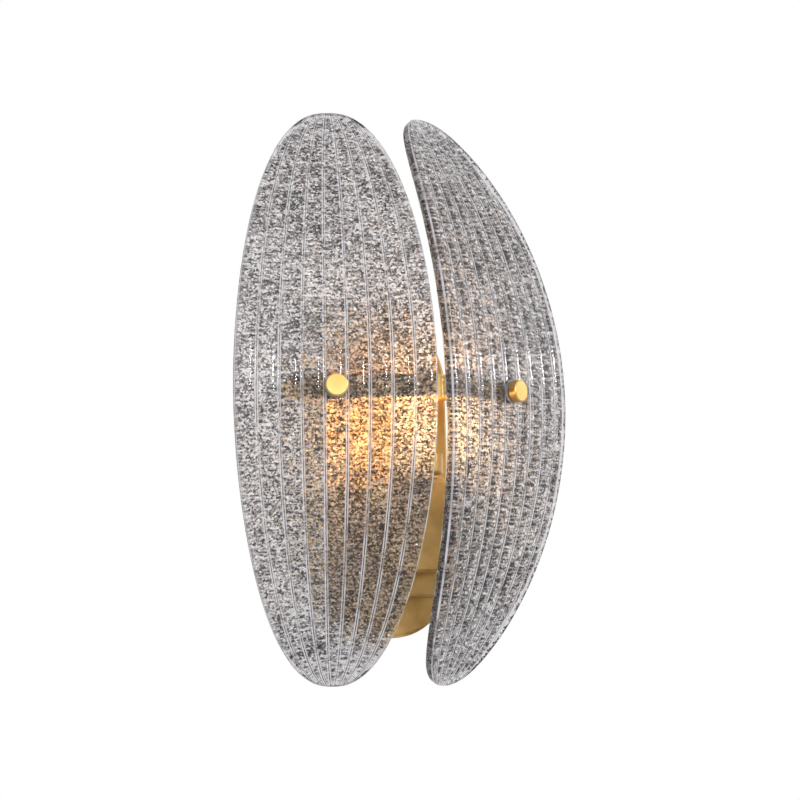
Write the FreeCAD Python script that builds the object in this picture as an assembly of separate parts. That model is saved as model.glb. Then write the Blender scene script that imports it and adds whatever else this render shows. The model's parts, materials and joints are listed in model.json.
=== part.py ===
import FreeCAD, Part
import math
import os
from FreeCAD import Vector

# Shell wall sconce, in millimetres. X is right, +Y goes into the wall, +Z is up.
# The origin is the centre of the wall bracket on the wall plane.

# Glass shells
shell_height = 420.0
shell_width = 144.5
shell_thickness = 8.5
shell_bow_depth = 70.0
shell_yaw = 24.7
shell_lean = 1.15
shell_edge_gap = 6.36
shell_hole_z = 57.0
shell_hole_depth = 80.0
flute_count = 9
flute_relief = 1.4
outline_power = 1.9
outline_blunt = 0.44
shell_end_fraction = 0.999
shell_rows = 41
points_per_flute = 6
swivel_clearance = 0.45

# Knobs, studs, washers and sleeves
knob_diameter = 16.0
knob_length = 6.6
knob_chamfer = 0.8
knob_blind_wall = 1.6
stud_diameter = 6.0
washer_diameter = 17.5
washer_thickness = 1.5
sleeve_wall = 1.4
sleeve_running_fit = 0.05
glass_hole_fit = 0.1
lock_nut_width = 10.0
lock_nut_thickness = 4.0
stud_tail = 1.5
thread_fit = 0.05
screw_slot_width = 0.6
screw_slot_share = 0.45

# Cross strap and its posts
strap_height = 16.0
strap_thickness = 3.0
strap_past_knob = 37.0
strap_bend_radius = 4.0
strap_end_flat = 0.2
post_offset_x = 32.0
post_diameter = 9.0
post_screw_diameter = 4.0
post_screw_grip = 10.0
post_screw_head = 7.2
post_screw_head_height = 2.6

# Wall plate, a pill-shaped pan
plate_width = 98.0
plate_height = 234.0
plate_depth = 25.0
plate_sheet = 1.6
plate_edge_round = 3.0
screw_fit = 0.25

# Wall bracket
bracket_height = 116.0
bracket_bar = 24.0
bracket_sheet = 2.0
bracket_ear_depth = 17.0
bracket_side_gap = 0.4
slot_spacing = 88.9
slot_length = 12.0
slot_width = 5.0
wire_hole_diameter = 12.0
grub_diameter = 4.0
grub_length = 7.0
grub_depth = 11.0
grub_proud = 0.4
grub_socket_corner = 1.1
grub_socket_depth = 2.0
earth_screw_diameter = 4.0
earth_screw_x = 28.0
earth_screw_head = 7.6
earth_screw_head_height = 2.6
earth_washer = 1.0
earth_washer_diameter = 8.8
earth_tag_sheet = 0.8
earth_tag_diameter = 8.0
earth_tag_neck = 3.4
earth_tag_length = 11.0
earth_barrel_wall = 0.8
earth_barrel_top = -7.0
earth_barrel_length = 6.0

# Terminal block
block_width = 30.0
block_height = 15.0
block_depth = 13.0
block_corner = 1.2
block_top_z = -14.0
block_bore = 3.2
clamp_screw_diameter = 3.0
clamp_screw_share = 0.27
clamp_screw_recess = 0.6
block_screw_diameter = 3.0
block_screw_head = 5.2
block_screw_head_height = 1.8
block_poles = 3
block_pitch = 9.0

# Middle housing and front cover
housing_width = 84.0
housing_top_z = 0.0
housing_bottom_z = -88.0
housing_corner = 12.0
cover_width = 68.0
cover_top_z = -6.0
cover_bottom_z = -71.5
cover_depth = 16.0
cover_corner = 9.0
box_sheet = 1.2
box_edge_round = 2.0
least_inner_round = 0.3
cover_lip = 1.6
housing_screw_diameter = 4.0
housing_screw_z = -80.5
housing_screw_x = 31.0
housing_screw_head = 6.8
housing_screw_head_height = 2.0
housing_screw_past = 2.0
window_margin = 7.0
window_corner = 4.0

# Lead-through bush and holes
bush_bore = 5.0
bush_wall = 0.7
bush_flange = 1.4
bush_flange_overlap = 1.0
bush_rise = 1.0
inlet_bush_reach = 1.5
inlet_hole_z = -52.0
cup_entry_back = 14.2

# Lamp bracket, cup and holder
lamp_depth = 63.0
cup_set_forward = 8.0
lamp_bracket_width = 26.0
lamp_bracket_sheet = 1.6
lamp_bracket_front = 12.0
lamp_bracket_back_gap = 3.0
lamp_bracket_corner = 5.0
bracket_screw_diameter = 3.0
bracket_screw_x = 9.0
bracket_screw_back = 2.0
bracket_screw_head = 5.4
bracket_screw_head_height = 1.8
bracket_screw_past = 1.0
cup_diameter = 38.6
cup_height = 14.0
cup_wall = 1.2
cup_edge_round = 1.8
cup_spacer_height = 1.4
cup_spacer_diameter = 12.0
nipple_diameter = 8.0
nipple_bore = 3.4
nipple_below_nut = 1.0
nipple_nut_width = 12.0
nipple_nut_thickness = 3.0
holder_width = 15.5
holder_length = 20.0
holder_height = 24.0
holder_corner = 3.0
holder_slot_depth = 12.0
holder_screw_diameter = 2.5
holder_screw_x = 7.8
holder_screw_grip = 6.0
holder_screw_end_gap = 0.5
countersink_share = 1.9
countersink_depth_share = 0.9
holder_foot = 1.4
holder_foot_overhang = 4.0
holder_foot_inset = 2.0
holder_lead_rise = 7.0
holder_lead_fit = 0.1
contact_play = 0.3
contact_wall = 0.6
contact_fit = 0.05
contact_pocket_floor = 1.6
contact_low = 4.2
contact_floor = 0.4

# Capsule lamp
bulb_diameter = 16.0
bulb_top_z = 76.0
bulb_base_width = 13.0
bulb_base_thickness = 7.0
bulb_base_height = 14.0
bulb_base_corner = 1.5
bulb_seat_gap = 0.35
bulb_pin_pitch = 9.0
bulb_pin_diameter = 1.3
bulb_pin_length = 7.0
bulb_pin_socket = 2.0
bulb_glass_wall = 1.0
filament_diameter = 1.6
filament_length = 16.0
filament_rise = 10.0
filament_leg_diameter = 0.8

# Leads
lead_diameter = 2.0
lead_bend = 2.6
lead_spacing = 2.6
earth_lead_bend = 4.0
earth_lead_fit = 0.05
lead_into_block = 6.0
lead_below_block = 8.0
lead_step_forward = 4.0
lead_into_cup = 1.8
earth_lead_start = -8.0
earth_lead_turn = 3.0
earth_lead_aside = 8.0
earth_lead_below = 9.0

# How far a drill or cutter runs past the piece it cuts, and how near counts as the same place
overrun = 1.0
glass_overrun = 5.0
close = 0.01

# Values that follow from the sizes above
yaw = math.radians(shell_yaw)
lean_angle = math.radians(shell_lean)
shell_bow_radius = (shell_bow_depth ** 2 + shell_height ** 2 / 4) / (2 * shell_bow_depth)
shell_offset_x = shell_width / 2 * math.cos(yaw) + shell_edge_gap
housing_depth = lamp_depth - cup_set_forward - cover_depth - plate_depth
side_signs = {"left": -1.0, "right": 1.0}
hole_radius = stud_diameter / 2 + sleeve_running_fit + sleeve_wall + glass_hole_fit
rear_face = shell_thickness + swivel_clearance
strap_front = rear_face + washer_thickness
plate_front = -plate_depth
housing_front = plate_front - housing_depth
cover_front = housing_front - cover_depth
cup_floor_z = cover_top_z + lamp_bracket_sheet + cup_spacer_height
holder_floor_z = cup_floor_z + cup_wall
holder_top_z = holder_floor_z + holder_foot + holder_height
bush_radius = bush_bore / 2 + bush_wall


def box(low, high):
    return Part.makeBox(high[0] - low[0], high[1] - low[1], high[2] - low[2], Vector(*low))


def rod(radius, start, end):
    run = Vector(*end) - Vector(*start)
    return Part.makeCylinder(radius, run.Length, Vector(*start), run)


def ring(outer, inner, start, end):
    return rod(outer, start, end).cut(rod(inner, start, end))


def hex_bar(corner, start, end):
    """A six-sided bar with its corners this far from the axis."""
    run = Vector(*end) - Vector(*start)
    turn = FreeCAD.Rotation(Vector(0, 0, 1), run)
    points = []
    for step in range(7):
        angle = math.radians(60 * step)
        flat = Vector(corner * math.cos(angle), corner * math.sin(angle), 0)
        points.append(Vector(*start) + turn.multVec(flat))
    return Part.Face(Part.makePolygon(points)).extrude(run)


def hex_nut(width, hole, start, end):
    return hex_bar(width / math.sqrt(3), start, end).cut(rod(hole, start, end))


def screw(shank, head, length, start, way, head_height):
    """A cheese-head screw whose head sits on start and whose shank runs along way."""
    tip = start + way * length
    top = start - way * head_height
    body = rod(head, top, start).fuse(rod(shank, start, tip))
    across = Vector(0, 0, 1) if abs(way.z) < 0.5 else Vector(1, 0, 0)
    third = way.cross(across)
    slot = screw_slot_width
    corner = top - across * head - third * (slot / 2)
    groove = Part.makePolygon([
        corner,
        corner + across * (2 * head),
        corner + across * (2 * head) + third * slot,
        corner + third * slot,
        corner,
    ])
    cut = Part.Face(groove).extrude(way * (head_height * screw_slot_share))
    return body.cut(cut).removeSplitter()


def rounded_slab(width, low_z, high_z, back_y, front_y, corner):
    """A slab facing -Y with rounded corners, running from back_y to front_y."""
    half = width / 2
    slab = box((-half, front_y, low_z), (half, back_y, high_z))
    upright = [e for e in slab.Edges if abs(e.tangentAt(e.FirstParameter).y) > 0.9]
    return slab.makeFillet(corner, upright)


def round_front(solid, front_y, radius):
    rim = []
    for edge in solid.Edges:
        if abs(edge.BoundBox.YMin - front_y) < close and edge.BoundBox.YLength < close:
            rim.append(edge)
    return solid.makeFillet(radius, rim)


def pan(width, low_z, high_z, back_y, front_y, corner, sheet, edge_round):
    """An open-backed pan: a rounded slab with its inside taken out from the back."""
    outer = rounded_slab(width, low_z, high_z, back_y, front_y, corner)
    outer = round_front(outer, front_y, edge_round)
    inner = rounded_slab(width - 2 * sheet, low_z + sheet, high_z - sheet,
                         back_y, front_y + sheet, corner - sheet)
    inner = round_front(inner, front_y + sheet, max(edge_round - sheet, least_inner_round))
    return outer.cut(inner)


# ---- glass shells ----

def outline_half_width(fraction):
    return shell_width / 2 * (1 - abs(fraction) ** outline_power) ** outline_blunt


def shell_axes(sign):
    """The outward way, the sideways way and the hole point of one shell."""
    outward = Vector(sign * math.sin(yaw), -math.cos(yaw), 0)
    sideways = Vector(math.cos(yaw), sign * math.sin(yaw), 0)
    hole = Vector(sign * shell_offset_x, -shell_hole_depth, shell_hole_z)
    return outward, sideways, hole


def bow_at(rise):
    return shell_bow_radius - math.sqrt(shell_bow_radius ** 2 - rise ** 2)


def shell_point(sign, across, fraction, depth, relief):
    """across runs -1 to 1 over the width, fraction -1 to 1 over the height."""
    outward, sideways, hole = shell_axes(sign)
    rise = fraction * shell_height / 2
    half = outline_half_width(fraction)
    flute = abs(math.cos(math.pi * flute_count * across / 2))
    taper = min(1.0, half / (shell_width / 2) * 1.15)
    lift = relief * flute ** 0.7 * taper - relief
    slope = rise / shell_bow_radius
    inward = depth * math.sqrt(1 - slope ** 2) + bow_at(rise) - lift
    height = rise - depth * slope
    # the tops of the two shells lean towards each other
    turn = -sign * lean_angle
    aside = across * half * math.cos(turn) + height * math.sin(turn)
    height = height * math.cos(turn) - across * half * math.sin(turn)
    return hole + sideways * aside - outward * inward + Vector(0, 0, height)


def shell_surface(sign, depth, relief):
    columns = flute_count * points_per_flute
    grid = []
    for row in range(shell_rows):
        angle = math.pi * row / (shell_rows - 1)
        fraction = -math.cos(angle) * shell_end_fraction
        line = []
        for column in range(columns + 1):
            across = -1 + 2 * column / columns
            line.append(shell_point(sign, across, fraction, depth, relief))
        grid.append(line)
    surface = Part.BSplineSurface()
    surface.interpolate(grid)
    return surface


def shell(side):
    sign = side_signs[side]
    front = shell_surface(sign, 0.0, flute_relief).toShape()
    back = shell_surface(sign, shell_thickness, 0.0).toShape()
    front_edges = sorted(front.Edges, key=edge_key)
    back_edges = sorted(back.Edges, key=edge_key)
    faces = [front.Faces[0], back.Faces[0]]
    for first, second in zip(front_edges, back_edges):
        faces.append(Part.makeRuledSurface(first, second))
    skin = Part.Shell(faces)
    skin.sewShape()
    solid = Part.Solid(skin)
    if solid.Volume < 0:
        solid.reverse()
    outward, sideways, hole = shell_axes(sign)
    return solid.cut(rod(hole_radius, hole + outward * glass_overrun,
                         hole - outward * (shell_thickness + glass_overrun)))


def edge_key(edge):
    """Sorts a shell's four edges: bottom, the two sides by x, then top."""
    middle = edge.BoundBox.Center
    return (round((middle.z - shell_hole_z) / (shell_height / 4)), round(middle.x, 0))


# ---- knobs, studs, washers, sleeves ----

def along(side, depth):
    """A point on one stud's axis, depth behind the front of the glass."""
    outward, sideways, hole = shell_axes(side_signs[side])
    return hole - outward * depth


def front_washer(side):
    start = along(side, 0.0)
    return ring(washer_diameter / 2, stud_diameter / 2 + sleeve_running_fit,
                start, along(side, -washer_thickness))


def rear_washer(side):
    return ring(washer_diameter / 2, stud_diameter / 2 + thread_fit,
                along(side, rear_face), along(side, rear_face + washer_thickness))


def sleeve(side):
    inner = stud_diameter / 2 + sleeve_running_fit
    return ring(inner + sleeve_wall, inner, along(side, 0.0), along(side, shell_thickness))


def knob(side):
    start = along(side, -washer_thickness - swivel_clearance)
    end = along(side, -washer_thickness - swivel_clearance - knob_length)
    body = rod(knob_diameter / 2, start, end)
    rims = [e for e in body.Edges if e.Closed]
    body = body.makeChamfer(knob_chamfer, rims)
    blind = along(side, -washer_thickness - swivel_clearance - knob_length + knob_blind_wall)
    return body.cut(rod(stud_diameter / 2 + sleeve_running_fit, start, blind))


def stud(side):
    front = along(side, -washer_thickness - swivel_clearance - knob_length
                  + knob_blind_wall + swivel_clearance)
    tail = along(side, strap_front + strap_thickness + lock_nut_thickness + stud_tail)
    return rod(stud_diameter / 2, front, tail)


def lock_nut(side):
    start = along(side, strap_front + strap_thickness)
    end = along(side, strap_front + strap_thickness + lock_nut_thickness)
    return hex_nut(lock_nut_width, stud_diameter / 2 + thread_fit, start, end)


# ---- cross strap and posts ----

def strap_profile(offset):
    """The strap's plan line, offset behind the front of the strap."""
    points = {}
    for side in ("left", "right"):
        outward, sideways, hole = shell_axes(side_signs[side])
        away = sideways * side_signs[side]
        points[side] = along(side, strap_front + offset) + away * strap_past_knob
    outward, sideways, hole = shell_axes(-1.0)
    start = along("left", strap_front + offset)
    apex = start + sideways * (-start.x / sideways.x)
    for key in points:
        points[key].z = 0
    apex.z = 0
    return points["left"], apex, points["right"]


def strap():
    left, apex, right = strap_profile(0.0)
    left_back, apex_back, right_back = strap_profile(strap_thickness)
    low = shell_hole_z - strap_height / 2
    outline = Part.makePolygon([left, apex, right, right_back, apex_back, left_back, left])
    blank = Part.Face(outline)
    blank.translate(Vector(0, 0, low))
    blank = blank.extrude(Vector(0, 0, strap_height))
    bend = []
    for edge in blank.Edges:
        if edge.BoundBox.ZLength > strap_height - close and abs(edge.BoundBox.Center.x) < close:
            bend.append(edge)
    bend.sort(key=lambda e: e.BoundBox.Center.y)
    blank = blank.makeFillet(strap_bend_radius + strap_thickness, [bend[0]])
    inner = [e for e in blank.Edges
             if e.BoundBox.ZLength > strap_height - close
             and (e.BoundBox.Center - bend[1].BoundBox.Center).Length < close]
    blank = blank.makeFillet(strap_bend_radius, inner)
    ends = []
    for edge in blank.Edges:
        if edge.BoundBox.ZLength < close and edge.Length < strap_thickness + close:
            if abs(edge.BoundBox.Center.x) > shell_offset_x:
                ends.append(edge)
    blank = blank.makeFillet(strap_height / 2 - strap_end_flat, ends)
    for side in side_signs:
        blank = blank.cut(rod(stud_diameter / 2 + thread_fit, along(side, strap_front - overrun),
                              along(side, strap_front + strap_thickness + overrun)))
    return blank


def post_foot(sign):
    return Vector(sign * post_offset_x, plate_front, shell_hole_z)


def strap_posts():
    left, apex, right = strap_profile(strap_thickness)
    posts = []
    for sign in side_signs.values():
        foot = post_foot(sign)
        reach = rod(post_diameter / 2, foot, foot - Vector(0, shell_hole_depth, 0))
        end = left if sign < 0 else right
        far = -2 * shell_hole_depth
        beyond = Part.Face(Part.makePolygon([
            apex, end, Vector(end.x, far, 0), Vector(apex.x, far, 0), apex]))
        beyond.translate(Vector(0, 0, shell_hole_z - post_diameter))
        reach = reach.cut(beyond.extrude(Vector(0, 0, 2 * post_diameter)))
        tapped = rod(post_screw_diameter / 2 + thread_fit, foot,
                     foot - Vector(0, post_screw_grip + overrun, 0))
        posts.append(reach.cut(tapped))
    return Part.makeCompound(posts)


def post_screws():
    screws = []
    for sign in side_signs.values():
        start = post_foot(sign) + Vector(0, plate_sheet, 0)
        screws.append(screw(post_screw_diameter / 2, post_screw_head / 2,
                            post_screw_grip + plate_sheet, start, Vector(0, -1, 0),
                            post_screw_head_height))
    return Part.makeCompound(screws)


# ---- wall plate and bracket ----

def wall_plate():
    half = plate_height / 2
    body = pan(plate_width, -half, half, 0, plate_front, plate_width / 2 - close,
               plate_sheet, plate_edge_round)
    for sign in side_signs.values():
        foot = post_foot(sign)
        body = body.cut(rod(post_screw_diameter / 2 + screw_fit, foot - Vector(0, overrun, 0),
                            foot + Vector(0, plate_sheet + overrun, 0)))
        side = Vector(sign * (plate_width / 2 + overrun), -grub_depth, 0)
        body = body.cut(rod(grub_diameter / 2 + screw_fit, side,
                            side - Vector(sign * (plate_sheet + 2 * overrun), 0, 0)))
        fixing = Vector(sign * housing_screw_x, plate_front, housing_screw_z)
        body = body.cut(rod(housing_screw_diameter / 2 + thread_fit, fixing - Vector(0, overrun, 0),
                            fixing + Vector(0, plate_sheet + overrun, 0)))
    inlet = Vector(0, plate_front - overrun, inlet_hole_z)
    return body.cut(rod(bush_radius, inlet, inlet + Vector(0, plate_sheet + 2 * overrun, 0)))


def wall_bracket():
    bar = bracket_bar / 2
    tall = box((-bar, -bracket_sheet, -bracket_height / 2), (bar, 0, bracket_height / 2))
    reach = plate_width / 2 - plate_sheet - bracket_side_gap
    wide = box((-reach, -bracket_sheet, -bar), (reach, 0, bar))
    body = tall.fuse(wide)
    for sign in side_signs.values():
        low, high = sorted((sign * reach, sign * (reach - bracket_sheet)))
        body = body.fuse(box((low, -bracket_ear_depth, -bar), (high, 0, bar)))
    body = body.removeSplitter()
    body = body.cut(rod(wire_hole_diameter / 2, (0, overrun, 0), (0, -bracket_sheet - overrun, 0)))
    for sign in side_signs.values():
        z = sign * slot_spacing / 2
        body = body.cut(slot_cutter(z))
        side = Vector(sign * (reach + overrun), -grub_depth, 0)
        body = body.cut(rod(grub_diameter / 2 + thread_fit, side,
                            side - Vector(sign * (bracket_sheet + 2 * overrun), 0, 0)))
        body = body.cut(rod(block_screw_diameter / 2 + thread_fit,
                            (sign * block_pitch / 2, overrun, block_middle_z()),
                            (sign * block_pitch / 2, -bracket_sheet - overrun,
                             block_middle_z())))
    return body.cut(rod(earth_screw_diameter / 2 + thread_fit, (earth_screw_x, overrun, 0),
                        (earth_screw_x, -bracket_sheet - overrun, 0)))


def slot_cutter(z):
    radius = slot_width / 2
    straight = slot_length / 2 - radius
    back, front = overrun, -bracket_sheet - overrun
    cutter = box((-radius, front, z - straight), (radius, back, z + straight))
    for end in (z - straight, z + straight):
        cutter = cutter.fuse(rod(radius, (0, back, end), (0, front, end)))
    return cutter.removeSplitter()


def grub_screws():
    screws = []
    for sign in side_signs.values():
        outer = Vector(sign * (plate_width / 2 + grub_proud), -grub_depth, 0)
        body = rod(grub_diameter / 2, outer, outer - Vector(sign * grub_length, 0, 0))
        key = hex_bar(grub_socket_corner, outer, outer - Vector(sign * grub_socket_depth, 0, 0))
        screws.append(body.cut(key))
    return Part.makeCompound(screws)


def earth_screw():
    start = Vector(earth_screw_x, -bracket_sheet - earth_tag_sheet - earth_washer, 0)
    return screw(earth_screw_diameter / 2, earth_screw_head / 2, -start.y, start,
                 Vector(0, 1, 0), earth_screw_head_height)


def earth_washer_ring():
    back = -bracket_sheet - earth_tag_sheet
    return ring(earth_washer_diameter / 2, earth_screw_diameter / 2 + thread_fit,
                (earth_screw_x, back, 0), (earth_screw_x, back - earth_washer, 0))


def earth_tag():
    """A ring tag under the earth screw, with a crimp barrel that points down."""
    x = earth_screw_x
    back = -bracket_sheet
    front = back - earth_tag_sheet
    neck = earth_tag_neck / 2
    tag = rod(earth_tag_diameter / 2, (x, back, 0), (x, front, 0))
    tag = tag.fuse(box((x - neck, front, -earth_tag_length), (x + neck, back, 0)))
    middle = earth_lead_y()
    top = earth_barrel_top
    low = top - earth_barrel_length
    tag = tag.fuse(rod(lead_diameter / 2 + earth_barrel_wall, (x, middle, top), (x, middle, low)))
    tag = tag.cut(rod(lead_diameter / 2, (x, middle, top + overrun), (x, middle, low - overrun)))
    return tag.cut(rod(earth_screw_diameter / 2 + thread_fit, (x, overrun, 0),
                       (x, front - overrun, 0)))


def earth_lead_y():
    return -bracket_sheet - earth_tag_sheet - lead_diameter / 2 - earth_lead_fit


# ---- terminal block ----

def pole_x(index):
    return (index - (block_poles - 1) / 2) * block_pitch


def block_middle_z():
    return block_top_z - block_height / 2


def clamp_levels():
    return (block_top_z - block_height * clamp_screw_share,
            block_top_z - block_height * (1 - clamp_screw_share))


def terminal_block():
    low = block_top_z - block_height
    back = -bracket_sheet
    body = box((-block_width / 2, back - block_depth, low), (block_width / 2, back, block_top_z))
    upright = [e for e in body.Edges if abs(e.tangentAt(e.FirstParameter).y) > 0.9]
    body = body.makeFillet(block_corner, upright)
    mid = back - block_depth / 2
    front = back - block_depth
    for index in range(block_poles):
        x = pole_x(index)
        body = body.cut(rod(block_bore / 2, (x, mid, low - overrun),
                            (x, mid, block_top_z + overrun)))
        for z in clamp_levels():
            body = body.cut(rod(clamp_screw_diameter / 2 + thread_fit, (x, mid, z),
                                (x, front - overrun, z)))
    for sign in side_signs.values():
        x = sign * block_pitch / 2
        z = block_middle_z()
        body = body.cut(rod(block_screw_diameter / 2 + thread_fit, (x, overrun, z),
                            (x, front - overrun, z)))
    return body


def terminal_screws():
    front = -bracket_sheet - block_depth + clamp_screw_recess
    reach = -bracket_sheet - block_depth / 2 - lead_diameter / 2
    radius = clamp_screw_diameter / 2
    slot = screw_slot_width / 2
    screws = []
    for index in range(block_poles):
        x = pole_x(index)
        for z in clamp_levels():
            body = rod(radius, (x, front, z), (x, reach, z))
            groove = box((x - radius - overrun, front - overrun, z - slot),
                         (x + radius + overrun, front + screw_slot_width, z + slot))
            screws.append(body.cut(groove))
    return Part.makeCompound(screws)


def block_screws():
    screws = []
    for sign in side_signs.values():
        start = Vector(sign * block_pitch / 2, -bracket_sheet - block_depth, block_middle_z())
        screws.append(screw(block_screw_diameter / 2, block_screw_head / 2, -start.y, start,
                            Vector(0, 1, 0), block_screw_head_height))
    return Part.makeCompound(screws)


# ---- housing and cover ----

def middle_housing():
    body = pan(housing_width, housing_bottom_z, housing_top_z, plate_front, housing_front,
               housing_corner, box_sheet, box_edge_round)
    window = rounded_slab(cover_width - 2 * window_margin, cover_bottom_z + window_margin,
                          cover_top_z - window_margin, housing_front + box_sheet + overrun,
                          housing_front - overrun, window_corner)
    body = body.cut(window)
    for sign in side_signs.values():
        fixing = Vector(sign * housing_screw_x, housing_front - overrun, housing_screw_z)
        body = body.cut(rod(housing_screw_diameter / 2 + screw_fit, fixing,
                            fixing + Vector(0, box_sheet + 2 * overrun, 0)))
    return body


def housing_screws():
    screws = []
    for sign in side_signs.values():
        start = Vector(sign * housing_screw_x, housing_front, housing_screw_z)
        screws.append(screw(housing_screw_diameter / 2, housing_screw_head / 2,
                            housing_depth + plate_sheet + housing_screw_past, start,
                            Vector(0, 1, 0), housing_screw_head_height))
    return Part.makeCompound(screws)


def front_cover():
    body = pan(cover_width, cover_bottom_z, cover_top_z, housing_front, cover_front,
               cover_corner, box_sheet, box_edge_round)
    lip = rounded_slab(cover_width + 2 * cover_lip, cover_bottom_z - cover_lip,
                       cover_top_z + cover_lip, housing_front, housing_front - box_sheet,
                       cover_corner + cover_lip)
    inside = rounded_slab(cover_width - 2 * box_sheet, cover_bottom_z + box_sheet,
                          cover_top_z - box_sheet, housing_front + overrun,
                          housing_front - box_sheet - overrun, cover_corner - box_sheet)
    body = body.fuse(lip.cut(inside)).removeSplitter()
    for x in (-bracket_screw_x, bracket_screw_x):
        start = Vector(x, bracket_screw_y(), cover_top_z - box_sheet - overrun)
        body = body.cut(rod(bracket_screw_diameter / 2 + screw_fit, start,
                            start + Vector(0, 0, box_sheet + 2 * overrun)))
    entry = Vector(0, -lamp_depth + cup_entry_back, cover_top_z - box_sheet - overrun)
    return body.cut(rod(bush_radius, entry, entry + Vector(0, 0, box_sheet + 2 * overrun)))


def bracket_screw_y():
    return housing_front - cover_depth / 2 + bracket_screw_back


# ---- lamp bracket, cup and holder ----

def lamp_bracket():
    """A flat tongue on the cover's top that reaches forward under the cup."""
    half = lamp_bracket_width / 2
    low = cover_top_z
    high = cover_top_z + lamp_bracket_sheet
    front = -lamp_depth - lamp_bracket_front
    body = box((-half, front, low), (half, housing_front - lamp_bracket_back_gap, high))
    upright = [e for e in body.Edges if abs(e.tangentAt(e.FirstParameter).z) > 0.9]
    body = body.makeFillet(lamp_bracket_corner, upright)
    for x in (-bracket_screw_x, bracket_screw_x):
        body = body.cut(rod(bracket_screw_diameter / 2 + thread_fit,
                            (x, bracket_screw_y(), low - overrun),
                            (x, bracket_screw_y(), high + overrun)))
    body = body.cut(rod(nipple_diameter / 2 + thread_fit, (0, -lamp_depth, low - overrun),
                        (0, -lamp_depth, high + overrun)))
    entry = -lamp_depth + cup_entry_back
    return body.cut(rod(bush_radius, (0, entry, low - overrun), (0, entry, high + overrun)))


def bracket_screws():
    screws = []
    for x in (-bracket_screw_x, bracket_screw_x):
        start = Vector(x, bracket_screw_y(), cover_top_z - box_sheet)
        length = box_sheet + lamp_bracket_sheet + bracket_screw_past
        screws.append(screw(bracket_screw_diameter / 2, bracket_screw_head / 2, length, start,
                            Vector(0, 0, 1), bracket_screw_head_height))
    return Part.makeCompound(screws)


def cup_spacer():
    low = cover_top_z + lamp_bracket_sheet
    return ring(cup_spacer_diameter / 2, nipple_diameter / 2 + thread_fit,
                (0, -lamp_depth, low), (0, -lamp_depth, cup_floor_z))


def lamp_cup():
    top = cup_floor_z + cup_height
    outer = rod(cup_diameter / 2, (0, -lamp_depth, cup_floor_z), (0, -lamp_depth, top))
    rim = [e for e in outer.Edges if e.Closed and e.BoundBox.ZMax < cup_floor_z + close]
    outer = outer.makeFillet(cup_edge_round, rim)
    inner = rod(cup_diameter / 2 - cup_wall, (0, -lamp_depth, holder_floor_z),
                (0, -lamp_depth, top + overrun))
    rim = [e for e in inner.Edges if e.Closed and e.BoundBox.ZMax < holder_floor_z + close]
    inner = inner.makeFillet(cup_edge_round - cup_wall, rim)
    body = outer.cut(inner)
    low = cup_floor_z - overrun
    body = body.cut(rod(nipple_diameter / 2 + thread_fit, (0, -lamp_depth, low),
                        (0, -lamp_depth, holder_floor_z + overrun)))
    entry = -lamp_depth + cup_entry_back
    return body.cut(rod(bush_radius, (0, entry, low), (0, entry, holder_floor_z + overrun)))


def lead_bush():
    """A snap bush through the cover top, the bracket and the cup floor."""
    entry = -lamp_depth + cup_entry_back
    low = cover_top_z - box_sheet - bush_flange
    high = holder_floor_z + bush_rise
    body = rod(bush_radius, (0, entry, low), (0, entry, high))
    body = body.fuse(rod(bush_radius + bush_flange_overlap, (0, entry, low),
                         (0, entry, low + bush_flange)))
    return body.cut(rod(bush_bore / 2, (0, entry, low - overrun), (0, entry, high + overrun)))


def inlet_bush():
    """A snap bush where the leads pass from the wall plate into the housing."""
    back = plate_front + plate_sheet
    inner_end = back + bush_flange
    outer_end = plate_front - inlet_bush_reach
    z = inlet_hole_z
    body = rod(bush_radius, (0, inner_end, z), (0, outer_end, z))
    body = body.fuse(rod(bush_radius + bush_flange_overlap, (0, back, z), (0, inner_end, z)))
    return body.cut(rod(bush_bore / 2, (0, inner_end + overrun, z), (0, outer_end - overrun, z)))


def cup_nipple():
    low = cover_top_z - nipple_nut_thickness - nipple_below_nut
    high = holder_floor_z + holder_foot
    return ring(nipple_diameter / 2, nipple_bore / 2, (0, -lamp_depth, low),
                (0, -lamp_depth, high))


def nipple_nut():
    return hex_nut(nipple_nut_width, nipple_diameter / 2 + thread_fit,
                   (0, -lamp_depth, cover_top_z),
                   (0, -lamp_depth, cover_top_z - nipple_nut_thickness))


def holder_strap():
    """The spring-steel foot that carries the ceramic holder on the nipple."""
    half_x = holder_length / 2 + holder_foot_overhang
    half_y = holder_width / 2 - holder_foot_inset
    low = holder_floor_z
    body = box((-half_x, -lamp_depth - half_y, low), (half_x, -lamp_depth + half_y,
                                                      low + holder_foot))
    for sign in side_signs.values():
        body = body.cut(countersunk(sign * holder_screw_x, thread_fit, holder_foot + overrun))
    return body.cut(rod(nipple_diameter / 2 + thread_fit, (0, -lamp_depth, low - overrun),
                        (0, -lamp_depth, low + holder_foot + overrun)))


def countersunk(x, allowance, reach):
    """A countersunk screw form that points up from the cup floor."""
    low = holder_floor_z
    shank = holder_screw_diameter / 2
    cone = Part.makeCone(shank * countersink_share + allowance, shank + allowance,
                         shank * countersink_depth_share, Vector(x, -lamp_depth, low))
    return cone.fuse(rod(shank + allowance, (x, -lamp_depth, low), (x, -lamp_depth, low + reach)))


def holder_screws():
    length = holder_foot + holder_screw_grip - holder_screw_end_gap
    return Part.makeCompound([
        countersunk(sign * holder_screw_x, 0.0, length).removeSplitter()
        for sign in side_signs.values()])


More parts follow.
